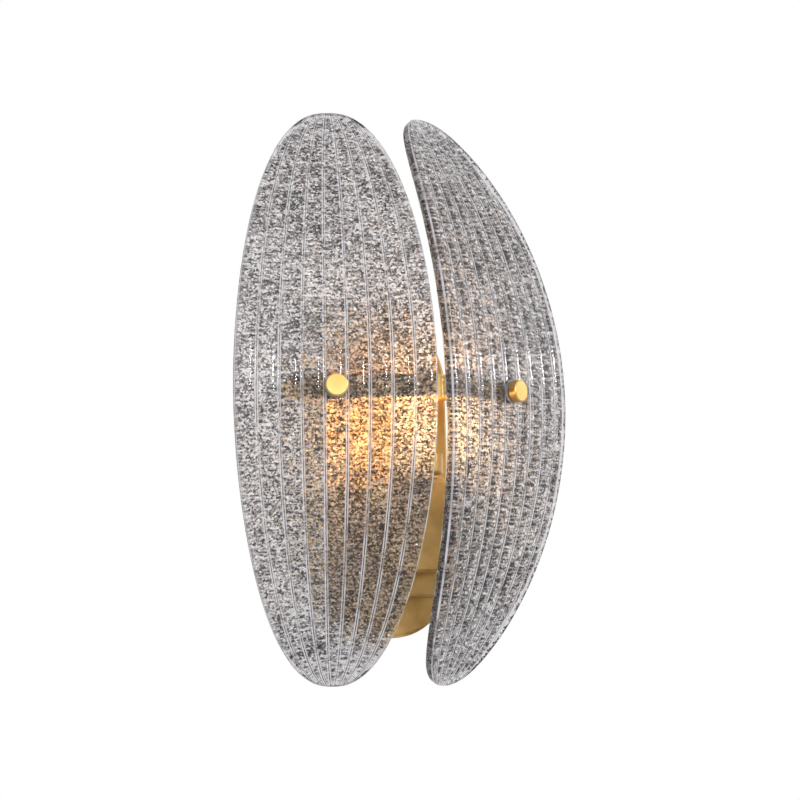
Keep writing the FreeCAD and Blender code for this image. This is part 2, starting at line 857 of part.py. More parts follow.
def lamp_holder():
    low = holder_floor_z + holder_foot
    half_x = holder_length / 2
    half_y = holder_width / 2
    body = box((-half_x, -lamp_depth - half_y, low), (half_x, -lamp_depth + half_y,
                                                      holder_top_z))
    upright = [e for e in body.Edges if abs(e.tangentAt(e.FirstParameter).z) > 0.9]
    body = body.makeFillet(holder_corner, upright)
    slot_x = bulb_base_width / 2 + bulb_seat_gap
    slot_y = bulb_base_thickness / 2 + bulb_seat_gap
    floor = holder_top_z - holder_slot_depth
    body = body.cut(box((-slot_x, -lamp_depth - slot_y, floor),
                        (slot_x, -lamp_depth + slot_y, holder_top_z + overrun)))
    for sign in side_signs.values():
        x = sign * bulb_pin_pitch / 2
        body = body.cut(rod(contact_outer(), (x, -lamp_depth, low + contact_pocket_floor),
                            (x, -lamp_depth, floor + overrun)))
        rise = low + holder_lead_rise
        body = body.cut(rod(lead_diameter / 2 + holder_lead_fit, (x, -lamp_depth, rise),
                            (x, -lamp_depth + half_y + overrun, rise)))
        x = sign * holder_screw_x
        body = body.cut(rod(holder_screw_diameter / 2 + thread_fit,
                            (x, -lamp_depth, low - overrun),
                            (x, -lamp_depth, low + holder_screw_grip)))
    return body


def contact_outer():
    return bulb_pin_diameter / 2 + contact_play + contact_wall


def holder_contacts():
    low = holder_floor_z + holder_foot
    floor = holder_top_z - holder_slot_depth
    contacts = []
    for sign in side_signs.values():
        x = sign * bulb_pin_pitch / 2
        body = rod(contact_outer() - contact_fit, (x, -lamp_depth, low + contact_low),
                   (x, -lamp_depth, floor - contact_floor))
        hollow = rod(bulb_pin_diameter / 2 + contact_play,
                     (x, -lamp_depth, low + contact_low + contact_floor), (x, -lamp_depth, floor))
        contacts.append(body.cut(hollow))
    return Part.makeCompound(contacts)


def bulb_base():
    low = holder_top_z - holder_slot_depth + bulb_seat_gap
    half_x = bulb_base_width / 2
    half_y = bulb_base_thickness / 2
    body = box((-half_x, -lamp_depth - half_y, low),
               (half_x, -lamp_depth + half_y, low + bulb_base_height))
    upright = [e for e in body.Edges if abs(e.tangentAt(e.FirstParameter).z) > 0.9]
    body = body.makeFillet(bulb_base_corner, upright)
    for sign in side_signs.values():
        x = sign * bulb_pin_pitch / 2
        body = body.cut(rod(bulb_pin_diameter / 2, (x, -lamp_depth, low - overrun),
                            (x, -lamp_depth, low + bulb_pin_socket)))
    return body


def bulb_pins():
    top = holder_top_z - holder_slot_depth + bulb_seat_gap + bulb_pin_socket
    pins = []
    for sign in side_signs.values():
        x = sign * bulb_pin_pitch / 2
        pins.append(rod(bulb_pin_diameter / 2, (x, -lamp_depth, top - bulb_pin_length),
                        (x, -lamp_depth, top)))
    return Part.makeCompound(pins)


def bulb_envelope():
    low = bulb_low()
    outer = capsule(bulb_diameter / 2, low, bulb_top_z)
    inner = capsule(bulb_diameter / 2 - bulb_glass_wall, low + bulb_glass_wall,
                    bulb_top_z - bulb_glass_wall)
    return outer.cut(inner)


def capsule(radius, low, high):
    body = rod(radius, (0, -lamp_depth, low), (0, -lamp_depth, high - radius))
    dome = Part.makeSphere(radius, Vector(0, -lamp_depth, high - radius))
    return body.fuse(dome).removeSplitter()


def bulb_filament():
    floor = bulb_low() + bulb_glass_wall
    low = floor + filament_rise
    body = rod(filament_diameter / 2, (0, -lamp_depth, low),
               (0, -lamp_depth, low + filament_length))
    return body.fuse(rod(filament_leg_diameter / 2, (0, -lamp_depth, floor), (0, -lamp_depth, low)))


def bulb_low():
    return holder_top_z - holder_slot_depth + bulb_seat_gap + bulb_base_height


# ---- leads ----

def lead(points, bend):
    """A round lead along straight runs with a round bend at each corner."""
    edges = []
    last = points[0]
    for index in range(1, len(points) - 1):
        corner = points[index]
        before = (points[index - 1] - corner).normalize()
        after = (points[index + 1] - corner).normalize()
        half = before.getAngle(after) / 2
        run = bend / math.tan(half)
        start = corner + before * run
        end = corner + after * run
        centre = corner + (before + after).normalize() * (bend / math.sin(half))
        middle = centre + (corner - centre).normalize() * bend
        edges.append(Part.makeLine(last, start))
        edges.append(Part.Arc(start, middle, end).toShape())
        last = end
    edges.append(Part.makeLine(last, points[-1]))
    wire = Part.Wire(edges)
    first = points[1] - points[0]
    circle = Part.Circle(points[0], first, lead_diameter / 2)
    profile = Part.Wire([circle.toShape()])
    return wire.makePipeShell([profile], True, True)


def lamp_lead(pole, sign):
    """From the terminal block, through both bushes, to one contact of the lamp holder."""
    mid = -bracket_sheet - block_depth / 2
    low = block_top_z - block_height
    x = sign * bulb_pin_pitch / 2
    near = sign * lead_spacing / 2
    entry = -lamp_depth + cup_entry_back
    rise = holder_floor_z + holder_foot + holder_lead_rise
    return lead([
        Vector(pole_x(pole), mid, low + lead_into_block),
        Vector(pole_x(pole), mid, low - lead_below_block),
        Vector(near, mid - lead_step_forward, inlet_hole_z),
        Vector(near, entry, inlet_hole_z),
        Vector(near, entry, holder_floor_z + lead_into_cup),
        Vector(x, entry, rise),
        Vector(x, -lamp_depth + contact_outer() + holder_lead_fit, rise),
    ], lead_bend)


def earth_lead():
    """From the ring tag's barrel round to the last pole of the terminal block."""
    mid = -bracket_sheet - block_depth / 2
    low = block_top_z - block_height
    middle = earth_lead_y()
    x = pole_x(block_poles - 1)
    return lead([
        Vector(earth_screw_x, middle, earth_lead_start),
        Vector(earth_screw_x, middle, low + earth_lead_turn),
        Vector(earth_screw_x - earth_lead_aside, mid, low - earth_lead_below),
        Vector(x, mid, low - earth_lead_below),
        Vector(x, mid, low + lead_into_block),
    ], earth_lead_bend)


parts = {}
for side in side_signs:
    parts[side + "_shell"] = shell(side)
    parts[side + "_knob"] = knob(side)
    parts[side + "_front_washer"] = front_washer(side)
    parts[side + "_sleeve"] = sleeve(side)
    parts[side + "_stud"] = stud(side)
parts["rear_washers"] = Part.makeCompound([rear_washer(side) for side in side_signs])
parts["lock_nuts"] = Part.makeCompound([lock_nut(side) for side in side_signs])
parts["cross_strap"] = strap()
parts["strap_posts"] = strap_posts()
parts["post_screws"] = post_screws()
parts["wall_plate"] = wall_plate()
parts["wall_bracket"] = wall_bracket()
parts["grub_screws"] = grub_screws()
parts["earth_screw"] = earth_screw()
parts["earth_washer"] = earth_washer_ring()
parts["earth_tag"] = earth_tag()
parts["terminal_block"] = terminal_block()
parts["terminal_screws"] = terminal_screws()
parts["block_screws"] = block_screws()
parts["middle_housing"] = middle_housing()
parts["housing_screws"] = housing_screws()
parts["front_cover"] = front_cover()
parts["inlet_bush"] = inlet_bush()
parts["lead_bush"] = lead_bush()
parts["lamp_bracket"] = lamp_bracket()
parts["bracket_screws"] = bracket_screws()
parts["cup_spacer"] = cup_spacer()
parts["lamp_cup"] = lamp_cup()
parts["cup_nipple"] = cup_nipple()
parts["nipple_nut"] = nipple_nut()
parts["holder_foot"] = holder_strap()
parts["lamp_holder"] = lamp_holder()
parts["holder_screws"] = holder_screws()
parts["holder_contacts"] = holder_contacts()
parts["live_lead"] = lamp_lead(1, 1.0)
parts["neutral_lead"] = lamp_lead(0, -1.0)
parts["earth_lead"] = earth_lead()
parts["bulb_envelope"] = bulb_envelope()
parts["bulb_base"] = bulb_base()
parts["bulb_pins"] = bulb_pins()
parts["bulb_filament"] = bulb_filament()

os.makedirs("parts", exist_ok=True)
for name, shape in parts.items():
    shape.exportStep("parts/" + name + ".step")
    print(name, len(shape.Solids), shape.isValid(), round(shape.Volume, 1))
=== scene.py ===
import json
import math

import bpy
from mathutils import Matrix, Vector


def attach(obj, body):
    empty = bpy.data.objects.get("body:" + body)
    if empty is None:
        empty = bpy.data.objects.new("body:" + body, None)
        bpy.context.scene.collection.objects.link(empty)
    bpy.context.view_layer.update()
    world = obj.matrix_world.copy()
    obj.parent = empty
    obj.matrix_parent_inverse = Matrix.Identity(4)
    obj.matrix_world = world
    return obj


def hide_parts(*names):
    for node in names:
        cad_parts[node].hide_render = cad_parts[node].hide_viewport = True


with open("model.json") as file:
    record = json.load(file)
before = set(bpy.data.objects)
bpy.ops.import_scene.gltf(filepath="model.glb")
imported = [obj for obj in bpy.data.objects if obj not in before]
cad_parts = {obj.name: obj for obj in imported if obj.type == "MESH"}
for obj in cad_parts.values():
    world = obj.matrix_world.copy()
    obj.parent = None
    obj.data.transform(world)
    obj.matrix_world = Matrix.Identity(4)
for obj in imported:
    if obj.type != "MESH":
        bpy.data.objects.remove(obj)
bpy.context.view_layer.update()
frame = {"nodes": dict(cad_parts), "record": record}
print("frame loaded,", len(frame["nodes"]), "nodes")

mm = 0.001
nodeStep = 200  # how far apart nodes stand in the editor


def linear(hexColour):
    # sRGB hex to the linear colour that a shader takes
    channels = []
    for start in (0, 2, 4):
        value = int(hexColour[start:start + 2], 16) / 255
        channels.append(value / 12.92 if value <= 0.04045 else ((value + 0.055) / 1.055) ** 2.4)
    return (*channels, 1.0)


def grey(value):
    return (value, value, value, 1.0)


def addNode(tree, kind, inputs=None, stops=None, **settings):
    # an input may be a value, a hex colour, a socket, or a node, which means its first output
    node = tree.nodes.new("ShaderNode" + kind)
    node.location = (nodeStep * len(tree.nodes), 0)
    for name, value in settings.items():
        setattr(node, name, value)
    for key, value in (inputs or {}).items():
        if isinstance(value, bpy.types.Node):
            value = value.outputs[0]
        if isinstance(value, bpy.types.NodeSocket):
            tree.links.new(value, node.inputs[key])
        else:
            node.inputs[key].default_value = linear(value) if isinstance(value, str) else value
    if stops:
        # the stops of a colour ramp, each a place with a hex colour or a grey level
        elements = node.color_ramp.elements
        while len(elements) < len(stops):
            elements.new(0.5)
        for element, (place, colour) in zip(elements, stops):
            element.position = place
            element.color = linear(colour) if isinstance(colour, str) else grey(colour)
    return node


def newMaterial(name):
    material = bpy.data.materials.new(name)
    material.use_nodes = True
    material.node_tree.nodes.clear()
    return material, material.node_tree


def deselectAll():
    if bpy.context.object and bpy.context.object.mode != "OBJECT":
        bpy.ops.object.mode_set(mode="OBJECT")
    bpy.ops.object.select_all(action="DESELECT")


# metal, ceramic and plastic finishes

brass = {
    "hairSpacing": 0.35 * mm,
    "hairLength": 125 * mm,
    "hairDepth": 0.05 * mm,
    "hairShow": 0.06,
    "cloud": 18 * mm,
    "tones": [(0.3, "c79f5e"), (0.55, "d9b370"), (0.75, "e2bf80")],
    "roughness": [(0.3, 0.3), (0.7, 0.42)],
}


def satinBrass():
    # cast and lacquered brass, brushed along its length: a soft, warm sheen with hair lines
    material, tree = newMaterial("satin lacquered brass")
    place = addNode(tree, "TexCoord").outputs["Object"]
    across, along = 1 / brass["hairSpacing"], 1 / brass["hairLength"]
    brushed = addNode(tree, "Mapping", {"Vector": place, "Scale": (across, across, along)})
    hair = addNode(tree, "TexNoise", {
        "Vector": brushed, "Scale": 1.0, "Detail": 3.0, "Roughness": 0.6})
    cloud = addNode(tree, "TexNoise", {
        "Vector": place, "Scale": 1 / brass["cloud"], "Detail": 2.0})
    bump = addNode(tree, "Bump", {
        "Height": hair, "Strength": brass["hairShow"], "Distance": brass["hairDepth"]})
    shader = addNode(tree, "BsdfPrincipled", {
        "Base Color": addNode(tree, "ValToRGB", {"Fac": cloud}, brass["tones"]),
        "Roughness": addNode(tree, "ValToRGB", {"Fac": hair}, brass["roughness"]),
        "Metallic": 1.0, "Normal": bump})
    addNode(tree, "OutputMaterial", {"Surface": shader})
    return material


zinc = {
    "spangle": 4 * mm,
    "tones": [(0.1, "b9bdc2"), (0.6, "cfd2d4")],
    "roughness": [(0.1, 0.28), (0.7, 0.4)],
}


def zincSteel():
    # bright zinc plate on pressed steel: pale grey with a faint spangle
    material, tree = newMaterial("zinc plated steel")
    place = addNode(tree, "TexCoord").outputs["Object"]
    spangle = addNode(tree, "TexVoronoi", {"Vector": place, "Scale": 1 / zinc["spangle"]})
    shader = addNode(tree, "BsdfPrincipled", {
        "Base Color": addNode(tree, "ValToRGB", {"Fac": spangle}, zinc["tones"]),
        "Roughness": addNode(tree, "ValToRGB", {"Fac": spangle}, zinc["roughness"]),
        "Metallic": 1.0})
    addNode(tree, "OutputMaterial", {"Surface": shader})
    return material


plasticGrain = {"size": 0.6 * mm, "depth": 0.03 * mm, "show": 0.08}
plastics = {
    "block_nylon": {
        "name": "white nylon", "dark": "dcdad2", "pale": "efede6", "roughness": 0.45, "ior": 1.53},
    "bush_nylon": {
        "name": "black nylon", "dark": "191919", "pale": "262626", "roughness": 0.5, "ior": 1.53},
    "lead_silicone": {
        "name": "white silicone sheath", "dark": "d8d2c6", "pale": "ebe6db",
        "roughness": 0.55, "ior": 1.41},
    "earth_silicone": {
        "name": "green silicone sheath", "dark": "5d8a1e", "pale": "7fae2b",
        "roughness": 0.55, "ior": 1.41},
}


def mouldedPlastic(plastic):
    # injection-moulded nylon or silicone: even colour with a fine spark-eroded grain
    material, tree = newMaterial(plastic["name"])
    place = addNode(tree, "TexCoord").outputs["Object"]
    grain = addNode(tree, "TexNoise", {
        "Vector": place, "Scale": 1 / plasticGrain["size"], "Detail": 2.0})
    tones = [(0.3, plastic["dark"]), (0.7, plastic["pale"])]
    bump = addNode(tree, "Bump", {
        "Height": grain, "Strength": plasticGrain["show"], "Distance": plasticGrain["depth"]})
    shader = addNode(tree, "BsdfPrincipled", {
        "Base Color": addNode(tree, "ValToRGB", {"Fac": grain}, tones),
        "Roughness": plastic["roughness"], "IOR": plastic["ior"], "Normal": bump})
    addNode(tree, "OutputMaterial", {"Surface": shader})
    return material


ceramic = {
    "pore": 0.8 * mm,
    "poreDepth": 0.05 * mm,
    "poreShow": 0.15,
    "tones": [(0.35, "d9d4c8"), (0.6, "efece4")],
    "roughness": 0.62,
    "ior": 1.55,
}


def steatiteCeramic():
    # unglazed steatite: chalky off-white with fine pores
    material, tree = newMaterial("steatite ceramic")
    place = addNode(tree, "TexCoord").outputs["Object"]
    pores = addNode(tree, "TexNoise", {
        "Vector": place, "Scale": 1 / ceramic["pore"], "Detail": 4.0})
    bump = addNode(tree, "Bump", {
        "Height": pores, "Strength": ceramic["poreShow"], "Distance": ceramic["poreDepth"]})
    shader = addNode(tree, "BsdfPrincipled", {
        "Base Color": addNode(tree, "ValToRGB", {"Fac": pores}, ceramic["tones"]),
        "Roughness": ceramic["roughness"], "IOR": ceramic["ior"], "Normal": bump})
    addNode(tree, "OutputMaterial", {"Surface": shader})
    return material


acrylic = {
    "haze": 3 * mm,
    "tones": [(0.3, "8d8a88"), (0.7, "b4b2b0")],
    "roughness": 0.08,
    "ior": 1.49,
    "alpha": 0.6,
}


def clearAcrylic():
    # clear acrylic washer: greyish and glossy, half see-through at this size
    material, tree = newMaterial("clear acrylic")
    place = addNode(tree, "TexCoord").outputs["Object"]
    haze = addNode(tree, "TexNoise", {
        "Vector": place, "Scale": 1 / acrylic["haze"], "Detail": 1.0})
    shader = addNode(tree, "BsdfPrincipled", {
        "Base Color": addNode(tree, "ValToRGB", {"Fac": haze}, acrylic["tones"]),
        "Roughness": acrylic["roughness"], "IOR": acrylic["ior"], "Alpha": acrylic["alpha"]})
    addNode(tree, "OutputMaterial", {"Surface": shader})
    return material


# the lamp

lamp = {
    "coil": 1.2 * mm,
    "coilTones": [(0.2, "ff9a45"), (0.8, "ffd9a0")],
    "coilStrength": 30.0,
    "frost": 2 * mm,
    "frostTones": [(0.3, "ffab58"), (0.7, "ffc47e")],
    "frostStrength": 1.8,
    "quartz": "f6efe4",
    "quartzRoughness": 0.3,
    "quartzIor": 1.46,
    "lightHex": "ffd28c",
    "power": 0.42,
    "radius": 7 * mm,
    "place": (0, -63 * mm, 37 * mm),
}


def glowingWire():
    # tungsten at full heat: past white in the render
    material, tree = newMaterial("glowing tungsten")
    place = addNode(tree, "TexCoord").outputs["Object"]
    coil = addNode(tree, "TexWave", {
        "Vector": place, "Scale": 1 / lamp["coil"]}, bands_direction="Z").outputs["Fac"]
    shader = addNode(tree, "Emission", {
        "Color": addNode(tree, "ValToRGB", {"Fac": coil}, lamp["coilTones"]),
        "Strength": lamp["coilStrength"]})
    addNode(tree, "OutputMaterial", {"Surface": shader})
    return material


def lampGlass():
    # frosted quartz lit from inside: it glows warm all over and lets the lamp's light out
    material, tree = newMaterial("frosted quartz glass")
    place = addNode(tree, "TexCoord").outputs["Object"]
    frost = addNode(tree, "TexNoise", {
        "Vector": place, "Scale": 1 / lamp["frost"], "Detail": 2.0})
    glow = addNode(tree, "Emission", {
        "Color": addNode(tree, "ValToRGB", {"Fac": frost}, lamp["frostTones"]),
        "Strength": lamp["frostStrength"]})
    quartz = addNode(tree, "BsdfPrincipled", {
        "Base Color": lamp["quartz"], "Roughness": lamp["quartzRoughness"],
        "IOR": lamp["quartzIor"]})
    envelope = addNode(tree, "AddShader", {0: glow, 1: quartz})
    clear = addNode(tree, "BsdfTransparent", {"Color": grey(1.0)})
    shadow = addNode(tree, "LightPath").outputs["Is Shadow Ray"]
    whole = addNode(tree, "MixShader", {"Fac": shadow, 1: envelope, 2: clear})
    addNode(tree, "OutputMaterial", {"Surface": whole})
    return material


# the glass shells

shell = {
    "height": 420 * mm,
    "width": 144.5 * mm,
    "thickness": 8.5 * mm,
    "bow": 70 * mm,
    "yaw": 24.7,
    "lean": 1.15,
    "hole": (72 * mm, -80 * mm, 57 * mm),  # of the right shell, at its face
    "holeRadius": 4.55 * mm,
    "holeSides": 48,
    "drillLength": 40 * mm,
    "flutes": 9,
    "relief": 1.4 * mm,
    "valley": 0.7,                         # below 1, flutes meet in a sharper valley
    "tipFade": 1.15,                       # flutes fade below 1 / tipFade of the full width
    "rimRound": 2.2 * mm,
    "inset": 0.15 * mm,
    "power": 1.9,                          # power and blunt shape the outline
    "blunt": 0.44,
    "ends": 0.999,
    "columns": 162,
    "rows": 220,
    "weld": 0.02 * mm,
    "smoothAngle": 50,
    "rimReach": 20 * mm,                   # rimPlace counts in this, from the edge
    "valleyReach": 10 * mm,                  # seamPlace counts in this, from the nearest valley
}
shell["radius"] = (shell["bow"] ** 2 + shell["height"] ** 2 / 4) / (2 * shell["bow"])


def halfWidth(fraction):
    return shell["width"] / 2 * (1 - abs(fraction) ** shell["power"]) ** shell["blunt"]


def heightLeft(across, fraction):
    # how far the outline still is, along the height, from this place
    share = abs(across * halfWidth(fraction) / (shell["width"] / 2))
    top = max(1 - share ** (1 / shell["blunt"]), 0.0) ** (1 / shell["power"])
    return max(top - abs(fraction), 0.0) * shell["height"] / 2


def shellAxes(sign):
    yaw = math.radians(shell["yaw"])
    outward = Vector((sign * math.sin(yaw), -math.cos(yaw), 0))
    sideways = Vector((math.cos(yaw), sign * math.sin(yaw), 0))
    aside, forward, height = shell["hole"]
    return outward, sideways, Vector((sign * aside, forward, height))


def shellPoint(sign, across, fraction, depth):
    # across and fraction run -1 to 1 over the width and the height
    outward, sideways, hole = shellAxes(sign)
    rise = fraction * shell["height"] / 2
    half = halfWidth(fraction)
    slope = rise / shell["radius"]
    bow = shell["radius"] - math.sqrt(shell["radius"] ** 2 - rise ** 2)
    inward = depth * math.sqrt(1 - slope ** 2) + bow
    height = rise - depth * slope
    lean = -sign * math.radians(shell["lean"])
    aside = across * half * math.cos(lean) + height * math.sin(lean)
    height = height * math.cos(lean) - across * half * math.sin(lean)
    return hole + sideways * aside - outward * inward + Vector((0, 0, height))


def fluteLift(across, half):
    # rounded flutes that meet in sharp valleys and die out towards the tips
    flute = abs(math.cos(math.pi * shell["flutes"] * across / 2))
    taper = min(1.0, half / (shell["width"] / 2) * shell["tipFade"])
    return shell["relief"] * (1 - taper * flute ** shell["valley"])


def rimDrop(edge):
    # how far the face drops back where the rim is rounded
    radius = shell["rimRound"]
    if edge >= radius:
        return 0.0
    return radius - math.sqrt(max(radius * radius - (radius - edge) ** 2, 0.0))


def bendShell(mesh, sign):
    # bends the flat double grid into the shell and marks each corner for the material
    mesh.uv_layers[0].name = "glassPlace"
    mesh.uv_layers.new(name="rimPlace")
    mesh.uv_layers.new(name="seamPlace")
    marks = []
    for vertex in mesh.vertices:
        across, along, layer = vertex.co
        onFront = layer > -0.5
        fraction = math.sin(along * math.pi / 2) * shell["ends"]
        half = halfWidth(fraction)
        edge = min((1 - abs(across)) * half, heightLeft(across, fraction))
        drop = rimDrop(max(edge, 0.0))
        depth = fluteLift(across, half) + drop if onFront else shell["thickness"] - drop
        depth = min(max(depth, shell["inset"]), shell["thickness"] - shell["inset"])
        vertex.co = shellPoint(sign, across, fraction, depth)
        turn = (across * shell["flutes"] / 2 + 0.5) % 1.0
        toValley = min(turn, 1 - turn) * 2 / shell["flutes"] * half
        marks.append((
            (across, along),
            (min(edge / shell["rimReach"], 1.0), 0.0 if onFront else 1.0),
            (toValley / shell["valleyReach"], 0.0)))
    for number, layer in enumerate(mesh.uv_layers):
        for loop in mesh.loops:
            layer.data[loop.index].uv = marks[loop.vertex_index][number]
    mesh.update()


def drillHole(piece, sign):
    # a plain drilled hole for the sleeve, cut with a boolean
    outward, _, hole = shellAxes(sign)
    deselectAll()
    bpy.ops.mesh.primitive_cylinder_add(
        vertices=shell["holeSides"], radius=shell["holeRadius"], depth=shell["drillLength"],
        location=hole - outward * shell["thickness"] / 2,
        rotation=outward.to_track_quat("Z", "Y").to_euler())
    drill = bpy.context.object
    deselectAll()
    piece.select_set(True)
    bpy.context.view_layer.objects.active = piece
    cut = piece.modifiers.new("hole", "BOOLEAN")
    cut.object = drill
    cut.solver = "EXACT"
    bpy.ops.object.modifier_apply(modifier=cut.name)
    bpy.data.objects.remove(drill, do_unlink=True)


def makeShell(side, material):
    sign = -1 if side == "left" else 1
    deselectAll()
    bpy.ops.mesh.primitive_grid_add(
        x_subdivisions=shell["columns"], y_subdivisions=shell["rows"], size=2)
    piece = bpy.context.object
    piece.name = side + "GlassShell"
    piece.data.name = piece.name
    # the grid again, one unit down, is the back; the two are joined along the rim
    bpy.ops.object.mode_set(mode="EDIT")
    bpy.ops.mesh.select_all(action="SELECT")
    bpy.ops.mesh.extrude_region_move(TRANSFORM_OT_translate={"value": (0, 0, -1)})
    bpy.ops.object.mode_set(mode="OBJECT")
    bendShell(piece.data, sign)
    bpy.ops.object.mode_set(mode="EDIT")
    bpy.ops.mesh.select_all(action="SELECT")
    bpy.ops.mesh.remove_doubles(threshold=shell["weld"])
    bpy.ops.mesh.normals_make_consistent(inside=False)
    bpy.ops.object.mode_set(mode="OBJECT")
    bpy.ops.object.shade_smooth_by_angle(angle=math.radians(shell["smoothAngle"]))
    drillHole(piece, sign)
    piece.data.materials.clear()
    piece.data.materials.append(material)
    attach(piece, side + "_glass")
    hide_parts(side + "_shell")
    print(piece.name, len(piece.data.polygons), "faces")


glass = {
    "grain": 1.3 * mm,
    "facetShare": 0.75,    # the shares say how much each pattern shows in the tone
    "speckShare": 1.5,
    "cloud": 26 * mm,
    "cloudShare": 0.4,
    "rungWide": 11 * mm,   # the cross ripples between two valleys
    "rungHigh": 1.9 * mm,
    "rungShift": 7.3,
    "rightRipples": 0.9,   # the right shell came out of the mould with more of them
    "level": 0.48,
    "fall": 0.055,         # the tone falls towards the top, more where there are more ripples
    "rippleFall": 0.05,
    "tones": [(0.1, "141213"), (0.4, "6e6866"), (0.62, "b9b4b3"), (0.85, "ffffff")],
    "cover": [(0.1, 0.95), (0.5, 0.6), (0.9, 0.5)],
    # painted highlight: the grain tone is made lighter close to each flute valley
    "paintedValleyHighlight": [(0.0, 0.1), (0.16, 0.12), (0.24, 0.0)],
    "rimClear": [(0.0, 0.35), (0.2, 1.0)],
    "edgeLine": [(0.02, 0.0), (0.035, 1.0), (0.08, 1.0), (0.1, 0.0)],
    "edgeWave": 0.1,
    "edgeCover": 0.85,
    "edgeHex": "f4f4f6",
    "facetTilt": 0.9,
    "facetRoughness": 0.12,
    "facetIor": 1.5,
    "translucence": 0.5,
    "ior": 1.47,
    "backHex": "f0eeee",
    "backRoughness": 0.05,
    "faceHex": "f4f3f4",
    "faceRoughness": 0.02,
    "rippleShow": 0.25,
    "rippleDepth": 0.5 * mm,
    "shadowHex": "ececee",
}
# painted highlight and painted shade: the pale and dark lines drawn along each flute valley,
# stronger low down
paintedValleyLines = {
    "patch": 6 * mm,
    "patchHeight": 40 * mm,
    "broken": [(0.33, 0.25), (0.58, 1.0)],
    "byHeight": [(0.0, 0.95), (0.4, 0.85), (0.6, 0.62), (1.0, 0.6)],
    "profile": [(0.0, 0.7), (0.03, 0.7), (0.05, 0.9), (0.12, 0.9), (0.14, 0.5), (0.19, 0.0)],
    "tones": [(0.03, "3d3939"), (0.05, "e8e7ec"), (0.11, "dddce2"), (0.14, "55504f")],
    "roughness": 0.15,
    "ior": 1.5,
}


